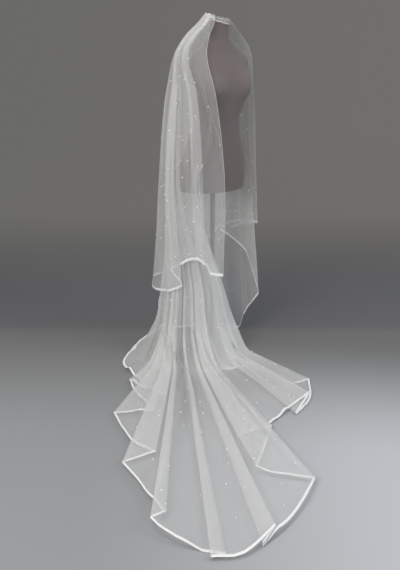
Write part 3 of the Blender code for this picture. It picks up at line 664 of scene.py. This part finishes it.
def tube_grid(points, radius, sides):
    """A tube along points, as a grid of points."""
    points = np.asarray(points)
    along = unit(np.gradient(points, axis=0))
    beside = unit(np.cross(along, ASKEW))
    above = np.cross(along, beside)
    turns = np.arange(sides) * math.tau / sides
    return (points[:, None] + radius * (np.cos(turns)[None, :, None] * beside[:, None]
                                        + np.sin(turns)[None, :, None] * above[:, None]))


def drawn(name, made):
    """What was made in a bmesh, as a mesh."""
    mesh = bpy.data.meshes.new(name)
    made.to_mesh(mesh)
    made.free()
    return mesh


def join_meshes(name, parts):
    """Several meshes as one."""
    made = bmesh.new()
    for part in parts:
        made.from_mesh(part)
        bpy.data.meshes.remove(part)
    return drawn(name, made)


def lofted_mesh(name, loops):
    """Closed loops of equal count as one mesh, with flat ends."""
    made = bmesh.new()
    rings = [[made.verts.new(point) for point in loop] for loop in loops]
    for low, high in zip(rings[:-1], rings[1:]):
        count = len(low)
        for k in range(count):
            made.faces.new((low[k], low[(k + 1) % count], high[(k + 1) % count], high[k]))
    made.faces.new(rings[0][::-1])
    made.faces.new(rings[-1])
    bmesh.ops.recalc_face_normals(made, faces=made.faces)
    return drawn(name, made)


# ---- materials
class Nodes:
    """A short way to write a material's nodes, on places in metres."""

    def __init__(self, name, colour, roughness, sockets, space="Object"):
        self.material = bpy.data.materials.new(name)
        self.material.use_nodes = True
        self.tree = self.material.node_tree
        self.shader = self.tree.nodes["Principled BSDF"]
        self.place = self.node("ShaderNodeTexCoord").outputs[space]
        self.shade({"Base Color": (*colour, 1.0), "Roughness": roughness, **sockets})

    def set(self, node, values):
        """Constants or links on a node's sockets."""
        for socket, value in values.items():
            if isinstance(value, bpy.types.NodeSocket):
                self.tree.links.new(value, node.inputs[socket])
            else:
                node.inputs[socket].default_value = value

    def shade(self, values):
        """Constants or links on the shader."""
        self.set(self.shader, values)

    def node(self, kind, values=None, **settings):
        """A node of a kind with its settings and sockets."""
        made = self.tree.nodes.new(kind)
        for key, value in settings.items():
            setattr(made, key, value)
        self.set(made, values or {})
        return made

    def maths(self, operation, *values):
        """A Math node's output."""
        made = self.node("ShaderNodeMath", dict(enumerate(values)), operation=operation)
        return made.outputs[0]

    def noise(self, scale, detail=2.0, stretch=None):
        """A Noise texture's value, stretched by axis if asked."""
        vector = self.place
        if stretch:
            vector = self.node("ShaderNodeMapping", {"Vector": vector, "Scale": stretch}).outputs[0]
        made = self.node("ShaderNodeTexNoise", {"Vector": vector, "Scale": scale, "Detail": detail})
        return made.outputs["Fac"]

    def bands(self, scale, distortion, detail, **settings):
        """A Wave texture's value."""
        made = self.node("ShaderNodeTexWave", {"Vector": self.place, "Scale": scale, "Detail": detail,
                                               "Distortion": distortion}, **settings)
        return made.outputs["Fac"]

    def between(self, value, low, high):
        """0 below low, 1 above high, and smooth between."""
        made = self.node("ShaderNodeMapRange", {0: value, 1: low, 2: high},
                         interpolation_type="SMOOTHSTEP")
        return made.outputs[0]

    def blend(self, share, first, second):
        """A colour between two, the first of which may come from another node."""
        made = self.node("ShaderNodeMix", data_type="RGBA")
        if isinstance(first, tuple):
            first = (*first, 1.0)
        self.set(made, {0: share, 6: first, 7: (*second, 1.0)})
        return made.outputs[2]

    def bump(self, height, strength, distance):
        """A bump onto the shader's normal."""
        made = self.node("ShaderNodeBump", {"Height": height, "Strength": strength,
                                            "Distance": distance})
        self.shade({"Normal": made.outputs[0]})


def scaled(colour, factor):
    """A colour, paler or darker."""
    return tuple(value * factor for value in colour)


def grating(nodes, across, down, degrees):
    """A wave from 0 to 1 over the cloth in one direction, as long as a hole is wide."""
    turn = bearing(degrees) * math.tau / NET_HOLE
    along = nodes.maths("ADD", nodes.maths("MULTIPLY", across, turn[0]),
                        nodes.maths("MULTIPLY", down, turn[1]))
    return nodes.maths("MULTIPLY_ADD", nodes.maths("COSINE", along), 0.5, 0.5)


def tulle_material(name, colour, covers):
    """Soft net: six-sided holes between fine threads, which close up where it is seen at a slant.

    The covers are the threads' share near the comb, where it falls free and out on the train. Real net
    has one cover all over; these differ to follow the photograph's tones, so the change from zone to
    zone is painted light and shade, a denser zone showing the net brighter.
    """
    nodes = Nodes(name, colour, 0.62, {"Sheen Weight": 0.35, "Sheen Roughness": 0.45,
                                       "Specular IOR Level": 0.25}, space="UV")
    across, down, _ = nodes.node("ShaderNodeSeparateXYZ", {0: nodes.place}).outputs
    waves = [grating(nodes, across, down, angle) for angle in (0.0, 60.0, 120.0)]
    net = nodes.maths("ADD", nodes.maths("ADD", waves[0], waves[1]), waves[2])
    thread = nodes.maths("SUBTRACT", 1.0, nodes.maths("MULTIPLY", net, 1.0 / 3.0))
    # painted light and shade: the net's cover changes from the comb to the fall and the train
    cover = covers[0]
    for zone, change in ((COVER_FALL, covers[1] - covers[0]), (COVER_TRAIN, covers[2] - covers[1])):
        cover = nodes.maths("MULTIPLY_ADD", nodes.between(down, *zone), change, cover)
    cloudy = nodes.maths("MULTIPLY_ADD", nodes.noise(NET_CLOUDS), NET_CLOUDY, NET_EVEN)
    amount = nodes.maths("MULTIPLY_ADD", thread, NET_THREADS, cloudy)
    clear = nodes.maths("SUBTRACT", 1.0, nodes.maths("MULTIPLY", cover, amount))
    facing = nodes.node("ShaderNodeLayerWeight", {"Blend": 0.5}).outputs["Facing"]
    slant = nodes.maths("MAXIMUM", nodes.maths("SUBTRACT", 1.0, facing), NET_SLANT)
    alpha = nodes.maths("SUBTRACT", 1.0, nodes.maths("POWER", clear, nodes.maths("DIVIDE", 1.0, slant)))
    nodes.shade({"Alpha": alpha})
    nodes.bump(thread, 0.25, 0.0003)
    return nodes.material


def satin_material():
    """Satin ribbon: fine level floats and a soft, drawn-out gloss."""
    nodes = Nodes("satin", SATIN_COLOUR, 0.28, {"Sheen Weight": 0.20, "Sheen Roughness": 0.30,
                                                "Anisotropic": 0.5, "Specular IOR Level": 0.6})
    nodes.shade({"Roughness": nodes.maths("MULTIPLY_ADD", nodes.noise(30.0), 0.16, 0.22)})
    nodes.bump(nodes.noise(1.0, 1.0, (900.0, 900.0, 2400.0)), 0.15, 0.0002)
    return nodes.material


def jersey_material():
    """The form's cover: fine ribs of stretch jersey, faded a little in patches."""
    nodes = Nodes("jersey", JERSEY_COLOUR, 0.88, {"Sheen Weight": 0.30, "Sheen Roughness": 0.60,
                                                  "Specular IOR Level": 0.2})
    ribs = nodes.bands(160.0, 0.6, 1.0, bands_direction="Z")
    faded = nodes.blend(nodes.noise(5.0, 4.0), JERSEY_COLOUR, scaled(JERSEY_COLOUR, 1.25))
    nodes.shade({"Base Color": faded})
    nodes.bump(nodes.maths("MULTIPLY_ADD", ribs, 0.6, nodes.noise(900.0)), 0.30, 0.0004)
    return nodes.material


def steel_material():
    """The comb: brushed steel, a little uneven."""
    nodes = Nodes("steel", STEEL_COLOUR, 0.55, {"Metallic": 1.0})
    strokes = nodes.noise(30.0, 4.0, (1.0, 1.0, 40.0))
    nodes.shade({"Roughness": nodes.maths("MULTIPLY_ADD", strokes, 0.2, 0.45)})
    nodes.bump(strokes, 0.08, 0.0003)
    return nodes.material


def enamel_material():
    """The stand: matt dark enamel with a faint orange peel."""
    nodes = Nodes("enamel", ENAMEL_COLOUR, 0.62, {"Specular IOR Level": 0.25})
    uneven = nodes.blend(nodes.noise(12.0), ENAMEL_COLOUR, scaled(ENAMEL_COLOUR, 1.4))
    nodes.shade({"Base Color": uneven})
    nodes.bump(nodes.noise(500.0), 0.10, 0.0003)
    return nodes.material


def cap_material():
    """The turned cap: painted wood with faint grain."""
    nodes = Nodes("cap", CAP_COLOUR, 0.45, {"Coat Weight": 0.2, "Coat Roughness": 0.3})
    rings = nodes.bands(30.0, 4.0, 3.0, wave_type="RINGS")
    nodes.shade({"Base Color": nodes.blend(rings, scaled(CAP_COLOUR, 0.75), CAP_COLOUR)})
    nodes.bump(rings, 0.10, 0.0004)
    return nodes.material


def pearl_material():
    """Small glossy pearls with a faint cloud under the gloss."""
    nodes = Nodes("pearl", PEARL_COLOUR, 0.22, {"Coat Weight": 0.8, "Coat Roughness": 0.08,
                                                "Specular IOR Level": 0.7})
    cloudy = nodes.noise(400.0)
    nodes.shade({"Base Color": nodes.blend(cloudy, PEARL_COLOUR, PEARL_WARM)})
    nodes.bump(cloudy, 0.05, 0.0002)
    return nodes.material


# ---- the veil's pieces
def ribbon_mesh(name, tier):
    """The ribbon folded over the hem: a flat tube along the bottom of every column."""
    up, thick = np.transpose(RIBBON_PROFILE)
    rows = []
    for index in range(len(tier.columns)):
        points, normals = tier.strip(index, up)
        half = normals * thick[:, None] * RIBBON_HALF
        rows.append(np.concatenate((points + half, (points - half)[::-1])))
    return grid_mesh(name, np.array(rows), closed=True)


def edge_mesh(name, tier, index):
    """The narrow rolled edge down a side of a tier."""
    points = tier.cloth.column(tier.columns[index], tier.places[index])[0]
    return grid_mesh(name, tube_grid(points, EDGE_RADIUS, EDGE_SIDES), closed=True)


def pearl_mesh(name, tier, rng):
    """Pearls scattered over a tier at an even spacing, staggered and a little uneven."""
    made = bmesh.new()
    ends = [length[-1] - PEARL_HEM_GAP for length, _ in tier.lengths]
    rows = np.arange(PEARL_SPACING * PEARL_START, max(ends) + PEARL_HEM_GAP, PEARL_SPACING * PEARL_ROWS)
    for row, distance in enumerate(rows):
        line = [(index, tier.spot(index, distance)[0]) for index, end in enumerate(ends)
                if distance < end]
        run, due = 0.0, PEARL_SPACING * (0.5 if row % 2 else 1.0)
        for (_, last), (index, point) in zip(line[:-1], line[1:]):
            run += np.linalg.norm(point - last)
            if run < due:
                continue
            run, due = 0.0, PEARL_SPACING * rng.uniform(*PEARL_ACROSS)
            at = distance + rng.uniform(*PEARL_DOWN) * PEARL_SPACING
            spot, normal = tier.spot(index, min(max(at, PEARL_COMB_GAP), ends[index]))
            centre = spot + normal * PEARL_RADIUS * PEARL_LIFT
            bmesh.ops.create_icosphere(made, subdivisions=2, radius=PEARL_RADIUS,
                                       matrix=Matrix.Translation(centre))
    return drawn(name, made)


def make_veil(upper, lower):
    """Both tiers with their ribbons, side edges and pearls."""
    rng = random.Random(PEARL_SEED)
    satin = satin_material()
    pearl = pearl_material()
    for name, tier, nodes, cut, area, covers in (
            ("upper", upper, ("upper_tier",), UPPER_CUT, UPPER_AREA, UPPER_COVERS_AND_SHADE),
            ("lower", lower, ("lower_tier_fall", "lower_tier_train"), LOWER_CUT, LOWER_AREA,
             LOWER_COVERS_AND_SHADE)):
        tulle = tulle_material(name + "_tulle", TULLE_COLOUR, covers)
        sheet = placed(name + "_veil", grid_mesh(name, tier.grid()), tulle)
        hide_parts(*nodes)
        ribbon = placed(name + "_satin", ribbon_mesh(name, tier), satin)
        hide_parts(name + "_ribbon")
        edges = [edge_mesh(name, tier, index) for index in (0, -1)]
        edge = placed(name + "_edges", join_meshes(name, edges), satin)
        pearls = placed(name + "_pearls", pearl_mesh(name, tier, rng), pearl)


# ---- the form and its stand
def form_loop(height, count):
    """One level section of the dress form."""
    heights, *sizes = np.transpose(FORM_SECTIONS)
    width, ahead, behind, shift = (np.interp(height, heights, size) for size in sizes)
    lean = FORM_LEAN * (height - heights[0]) / (heights[-1] - heights[0])
    half_spacing, bust_height, spread, swell = BUST
    slant = NECK_SLANT * np.interp(height, NECK_HEIGHTS, (0.0, 1.0))
    middle = lean - shift * BACK[0]
    loop = []
    for angle in np.arange(count) * math.tau / count:
        side = width * math.cos(angle)
        depth = (behind if math.sin(angle) > 0 else ahead) * math.sin(angle)
        if depth < 0:
            away = min(abs(side - half_spacing), abs(side + half_spacing))
            bump = math.exp(-(away / spread) ** 2 - ((height - bust_height) / spread) ** 2)
            depth -= swell * bump
        x, y = side * SIDE + (depth - shift) * BACK + (lean, 0.0)
        loop.append((x, y, height - slant * (x - middle)))
    return loop


def make_form():
    """The dress form's padded cover."""
    heights = np.linspace(FORM_SECTIONS[0][0], FORM_SECTIONS[-1][0], FORM_ROWS)
    loops = np.array([form_loop(height, FORM_COLUMNS) for height in heights])
    for _ in range(FORM_SMOOTHING):
        loops[1:-1] = 0.25 * loops[:-2] + 0.5 * loops[1:-1] + 0.25 * loops[2:]
    cover = placed("form_cover", lofted_mesh("form", loops), jersey_material())
    cover.data.set_sharp_from_angle(angle=FORM_SHARP)
    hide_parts("dress_form")


def refinish(node, material):
    """A node of the model keeps its mesh and gets a better surface."""
    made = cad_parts[node]
    made.data.materials.clear()
    made.data.materials.append(material)


# ---- the setting
def setting_material():
    """The floor, pale in front and grey behind, which fades far off to the wall's glowing grey; painted
    light makes the pale floor lighter and cooler to the right.
    """
    nodes = Nodes("floor", FLOOR_GREY, 0.95, {"Specular IOR Level": 0.1})
    x, y, _ = nodes.node("ShaderNodeSeparateXYZ", {0: nodes.place}).outputs
    slant = nodes.maths("MULTIPLY_ADD", x, -FLOOR_SLANT, y)
    near = nodes.between(slant, *FLOOR_TURNS)
    dull = nodes.maths("MULTIPLY_ADD", nodes.noise(1.3), 0.1, 0.85)
    # painted light: the pale floor is darker on the left and lighter and cooler on the right, where the
    # right lamp falls
    pale = nodes.blend(nodes.between(x, *FLOOR_LIGHT_SIDES), FLOOR_SHADED_LEFT, FLOOR_LIT_RIGHT)
    middle = nodes.blend(near, pale, FLOOR_MIDDLE)
    grey = nodes.blend(nodes.between(y, *FLOOR_BREAK), middle, FLOOR_GREY)
    nodes.shade({"Base Color": grey, "Roughness": dull})
    radius = nodes.node("ShaderNodeVectorMath", {0: nodes.place}, operation="LENGTH").outputs["Value"]
    far = nodes.maths("MAXIMUM", nodes.between(y, *FLOOR_FADE), nodes.between(radius, *FLOOR_END))
    # the far floor and the wall glow in the backdrop's grey, with painted light making it lighter to
    # the right
    tone = nodes.blend(nodes.between(x, *WALL_LIGHT_SIDES), WALL_SHADED_LEFT, WALL_LIT_RIGHT)
    glow = nodes.node("ShaderNodeEmission", {"Color": tone})
    mix = nodes.node("ShaderNodeMixShader", {0: far, 1: nodes.shader.outputs[0], 2: glow.outputs[0]})
    nodes.set(nodes.tree.nodes["Material Output"], {"Surface": mix.outputs[0]})
    return nodes.material


def make_ground():
    """A plain floor that meets a glowing grey wall far off, with painted light making both lighter to
    the right.
    """
    material = setting_material()
    turns = np.append(np.arange(FLOOR_COUNT) * math.tau / FLOOR_COUNT, 0.0)
    for name, sweep in (("floor", [(reach, 0.0) for reach in (*FLOOR_RINGS, WALL_REACH)]),
                        ("wall", ((WALL_REACH, 0.0), (WALL_REACH, WALL_HEIGHT)))):
        rings = [[(r * math.cos(t), r * math.sin(t), z) for r, z in sweep] for t in turns]
        mesh = grid_mesh(name, np.array(rings))
        mesh.materials.append(material)
        ground = linked(name, mesh)
        if name == "wall":
            ground.visible_diffuse = ground.visible_glossy = ground.visible_shadow = False


def make_light():
    """The even light all round and the soft lamps."""
    world = bpy.data.worlds.new("studio")
    world.use_nodes = True
    background = world.node_tree.nodes["Background"]
    background.inputs[0].default_value = (*WORLD_COLOUR, 1.0)
    background.inputs[1].default_value = WORLD_LIGHT
    bpy.context.scene.world = world
    for name, place, aim, size, power, colour in LIGHTS:
        lamp = bpy.data.lights.new(name, "AREA")
        lamp.shape = "RECTANGLE"
        lamp.size, lamp.size_y = size
        lamp.energy = power
        lamp.color = colour
        made = linked(name, lamp)
        made.location = place
        made.rotation_mode = "QUATERNION"
        made.rotation_quaternion = (Vector(aim) - Vector(place)).to_track_quat("-Z", "Y")


def make_camera():
    """The camera, fitted to the photograph."""
    camera = bpy.data.cameras.new("camera")
    camera.lens = CAMERA_LENS
    camera.sensor_width = CAMERA_SENSOR
    made = linked("camera", camera)
    made.location = CAMERA_PLACE
    made.rotation_euler = (math.pi / 2 - CAMERA_DOWN, 0.0, 0.0)
    scene = bpy.context.scene
    scene.camera = made
    scene.view_settings.view_transform = "Standard"
    scene.cycles.transparent_max_bounces = NET_LAYERS


# ---- finish values
# spacing of points along the hem, courses and places among which they are looked for, degrees
# over which a layer's rise is blurred, degrees between columns, rows
UPPER_GRID = (0.030, np.arange(-20.0, 266.0, 1.0), np.arange(5.5, 7.0, 0.05), 4.0, 1.2, 110)
LOWER_GRID = (0.040, np.arange(-2.0, 350.0, 1.0),
              np.append(np.arange(5.4, 8.0, 0.1), np.arange(8.0, 9.0, 0.02)), 3.0, 1.6, 130)
# degrees: how far a layer's rise reaches past a fold, how finely it is worked out, and how far
# past its ends a leg still counts as lying there
FOLD_REACH, FOLD_FINE, FOLD_MARGIN = 4.0, 0.5, 1.5
# small and largest move, along the courses and down a thread, and rounds, to find a hem's point
FIND_MOVES, FIND_ROUNDS = ((0.2, 1.0), (0.002, 0.1)), 5
FINE_PLACES = 240                  # places down a thread by which its length is measured
ASKEW = (0.31, 0.17, 0.93)         # a direction that no side edge runs along
UPPER_CUT, UPPER_AREA = (1.80, 1.25), 2.0
LOWER_CUT, LOWER_AREA = (1.95, 3.05), 5.2
TULLE_COLOUR = (0.83, 0.83, 0.82)
# painted light and shade: the net's cover near the comb, in the fall and on the train differs so each
# zone shows brighter or dimmer
UPPER_COVERS_AND_SHADE = (0.20, 0.23, 0.245)
LOWER_COVERS_AND_SHADE = (0.08, 0.33, 0.195)
COVER_FALL, COVER_TRAIN = (0.75, 1.15), (1.60, 1.95)      # metres down from the comb
NET_HOLE = 0.0016                  # metres across
NET_SLANT = 0.55                   # the holes close no further than at this cosine
# how much of the cover is threads, clouds and even, and the clouds' scale
NET_THREADS, NET_CLOUDY, NET_EVEN, NET_CLOUDS = 0.9, 0.2, 0.42, 9.0
SATIN_COLOUR = (0.93, 0.93, 0.92)
JERSEY_COLOUR = (0.120, 0.098, 0.094)
ENAMEL_COLOUR = (0.14, 0.14, 0.142)
STEEL_COLOUR = (0.42, 0.42, 0.42)
CAP_COLOUR = (0.60, 0.53, 0.50)
PEARL_COLOUR, PEARL_WARM = (0.92, 0.91, 0.88), (0.92, 0.8736, 0.792)
FORM_ROWS, FORM_COLUMNS, FORM_SMOOTHING, FORM_SHARP = 180, 160, 24, math.radians(50.0)
# painted light: the pale floor darker on the left, lighter and cooler on the right
FLOOR_SHADED_LEFT, FLOOR_LIT_RIGHT = (0.315, 0.32, 0.325), (0.54, 0.55, 0.575)
FLOOR_LIGHT_SIDES = (-0.5, 0.7)          # X between which the pale floor changes
FLOOR_GREY = (0.16, 0.16, 0.165)
FLOOR_TURNS = (-1.05, 0.12)        # Y from where it is pale to where it is duller
FLOOR_SLANT = -0.1                 # below 0, the pale part reaches less far back on the right
FLOOR_MIDDLE = (0.19, 0.19, 0.185)
FLOOR_BREAK = (0.12, 0.24)         # Y where the floor drops to the backdrop's grey
FLOOR_FADE = (0.6, 3.0)            # Y over which it fades to the wall's tone
FLOOR_END = (3.6, 7.0)             # distance from the stand over which it fades all round
FLOOR_RINGS, FLOOR_COUNT = (0.0, 2.0, 5.0), 96            # radii, points round
# the wall's glow, with painted light: darker on the left, lighter on the right
WALL_SHADED_LEFT, WALL_LIT_RIGHT = (0.148, 0.146, 0.135), (0.165, 0.158, 0.148)
WALL_LIGHT_SIDES = (-3.0, 3.0)           # X between which the wall's tone changes
WALL_REACH, WALL_HEIGHT = 9.0, 16.0
NET_LAYERS = 48                    # see-through surfaces that a ray may pass
WORLD_COLOUR = (0.80, 0.82, 0.86)
WORLD_LIGHT = 0.45
# lamp, place, aim, size, power in watts, colour
LIGHTS = (
    ("overhead", (-0.8, -1.4, 3.4), (0.0, -0.4, 0.6), (1.8, 1.8), 34.0, (1.0, 0.97, 0.93)),
    ("front", (-1.9, -3.3, 1.9), (0.0, 0.0, 0.6), (1.2, 1.2), 48.0, (1.0, 0.98, 0.95)),
    ("right", (3.0, -1.6, 2.2), (0.0, -0.5, 0.4), (1.6, 2.0), 45.0, (0.93, 0.96, 1.0)),
)


def main():
    """Builds every piece round the model."""
    make_form()
    upper = Cloth(upper_thread, UPPER_STEPS, UPPER_GATHERS, UPPER_CALM, UPPER_WAVES, UPPER_CREASES)
    lower = Cloth(lower_thread, LOWER_STEPS, LOWER_GATHERS, LOWER_CALM, LOWER_WAVES, LOWER_CREASES)
    lower_hem = LOWER_HEM + tuple((name, x, y, 0.0, side) for name, x, y, side in FLOOR_HEM)
    make_veil(tier_of(upper, UPPER_HEM, *UPPER_GRID), tier_of(lower, lower_hem, *LOWER_GRID))
    enamel = enamel_material()
    for node in ("pole", "foot_plate"):
        refinish(node, enamel)
    refinish("comb", steel_material())
    refinish("neck_cap", cap_material())
    make_ground()
    make_light()
    make_camera()


main()
